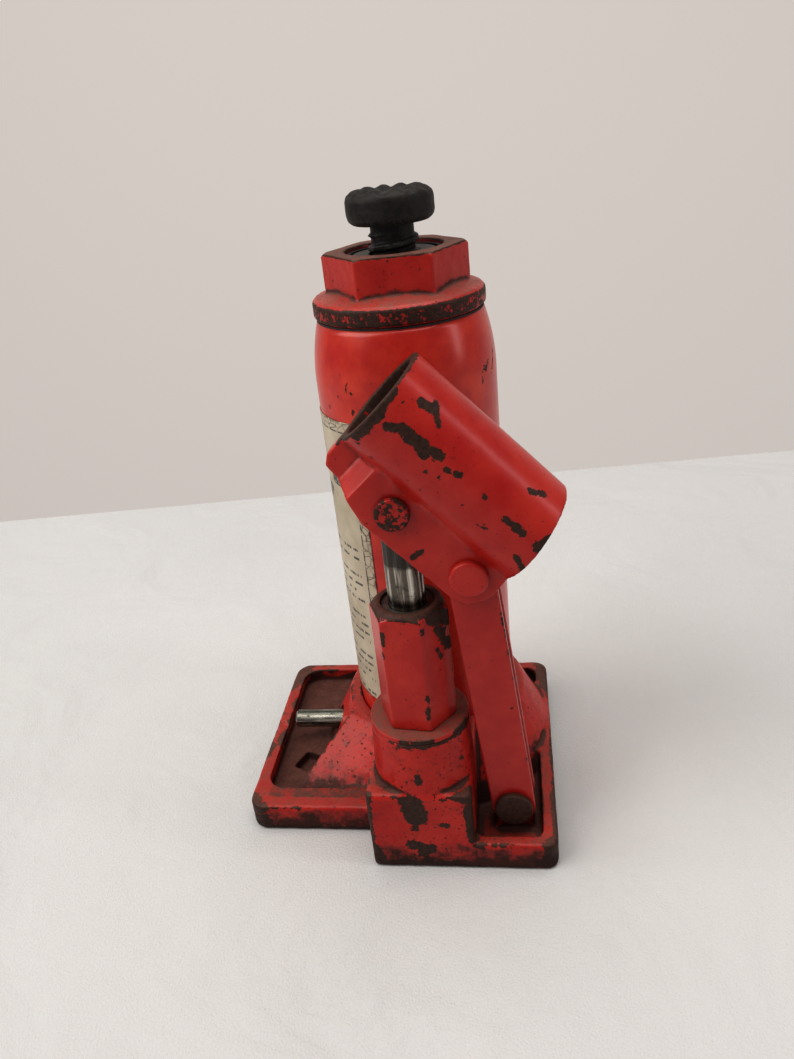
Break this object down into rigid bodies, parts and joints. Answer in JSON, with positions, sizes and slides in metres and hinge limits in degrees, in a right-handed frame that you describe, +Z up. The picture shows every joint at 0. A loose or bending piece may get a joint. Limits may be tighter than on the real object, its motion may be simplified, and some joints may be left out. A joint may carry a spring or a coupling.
{
  "type": "bottle jack",
  "caption": "Small hydraulic bottle jack with a hand pump, folded handle socket and links, screw-out saddle and side release valve.",
  "frame": {"origin": "on the ram axis, at the underside of the base casting", "axes": "+Z up along the ram, +X towards the links, -Y towards the pump"},
  "size_m": [0.1055, 0.0935, 0.192],
  "materials": {
    "red_enamel_casting": "brushed red enamel, chipped",
    "red_enamel_steel": "glossy red enamel, chipped",
    "label": "aged printed sheet",
    "rubber": "matt",
    "ground_steel": "ground, oily",
    "dark_steel": "blackened",
    "black_forging": "black oxide",
    "copper": "soft copper",
    "seal": "polyurethane",
    "strainer": "fine mesh"
  },
  "bodies": {
    "base": {"base_casting": "red_enamel_casting", "reservoir_tube": "red_enamel_steel", "reservoir_gasket": "rubber", "reservoir_label": "label", "filler_plug": "rubber", "top_nut": "red_enamel_casting", "top_gasket": "rubber", "ram_cylinder": "ground_steel", "cylinder_gasket": "copper", "ram_wiper": "rubber", "pump_body": "red_enamel_casting", "pump_washer": "red_enamel_steel", "plunger_packing": "seal", "packing_washer": "dark_steel", "outlet_spring": "ground_steel", "outlet_cage": "dark_steel", "oil_strainer": "strainer", "passage_plugs": "dark_steel"},
    "ram": {"ram": "ground_steel", "ram_cup_seal": "seal", "ram_backup_ring": "seal"},
    "screw_nut_ring": {"screw_stop_ring": "dark_steel"},
    "extension_screw": {"extension_screw": "black_forging", "saddle": "black_forging"},
    "plunger": {"pump_plunger": "ground_steel", "plunger_seal": "seal"},
    "handle_socket": {"handle_socket": "red_enamel_steel", "plunger_pin": "red_enamel_steel", "link_pin": "red_enamel_steel", "socket_pin_clips": "dark_steel"},
    "links": {"front_link": "red_enamel_steel", "rear_link": "red_enamel_steel", "foot_pin": "red_enamel_steel", "foot_pin_clip": "dark_steel"},
    "release_ball": {"release_ball": "ground_steel"},
    "release_spindle": {"release_spindle": "dark_steel", "release_seal": "rubber"},
    "inlet_ball": {"inlet_ball": "ground_steel"},
    "outlet_ball": {"outlet_ball": "ground_steel"}
  },
  "joints": [
    {"name": "ram_lift", "type": "slide", "parent": "base", "child": "ram", "axis": [0, 0, 1], "range_m": [0, 0.1]},
    {"name": "screw_rise", "type": "slide", "parent": "ram", "child": "screw_nut_ring", "axis": [0, 0, 1], "range_m": [0, 0.048]},
    {"name": "screw_turn", "type": "hinge", "parent": "screw_nut_ring", "child": "extension_screw", "pos_m": [0, 0, 0.18], "axis": [0, 0, 1], "range_deg": [0, 4320]},
    {"name": "handle_swing", "type": "hinge", "parent": "plunger", "child": "handle_socket", "pos_m": [0, -0.045, 0.11861], "axis": [0, -1, 0], "range_deg": [-8, 44.5]},
    {"name": "plunger_stroke", "type": "slide", "parent": "base", "child": "plunger", "axis": [0, 0, 1], "range_m": [-0.0172, 0.0032]},
    {"name": "link_lean", "type": "hinge", "parent": "base", "child": "links", "pos_m": [0.0268, -0.045, 0.0156], "axis": [0, 1, 0], "range_deg": [-1.25, 6.75]},
    {"name": "release_turn", "type": "hinge", "parent": "release_ball", "child": "release_spindle", "pos_m": [-0.04, -0.0055, 0.013], "axis": [-1, 0, 0], "range_deg": [0, 360.1]},
    {"name": "release_back_off", "type": "slide", "parent": "base", "child": "release_ball", "axis": [-1, 0, 0], "range_m": [0, 0.0015]},
    {"name": "inlet_ball_lift", "type": "slide", "parent": "base", "child": "inlet_ball", "axis": [0, 0, 1], "range_m": [0, 0.001]},
    {"name": "outlet_ball_lift", "type": "slide", "parent": "base", "child": "outlet_ball", "axis": [0, 0, 1], "range_m": [0, 0.001], "deforming": ["outlet_spring"]}
  ],
  "couplings": [
    {"joint": "screw_turn", "follows": "screw_rise", "rad_per_m": 1570.8},
    {"joint": "plunger_stroke", "follows": "handle_swing", "m_per_rad": -0.022059},
    {"joint": "link_lean", "follows": "handle_swing", "ratio": 0.15},
    {"joint": "release_turn", "follows": "release_back_off", "rad_per_m": 4188.8}
  ]
}
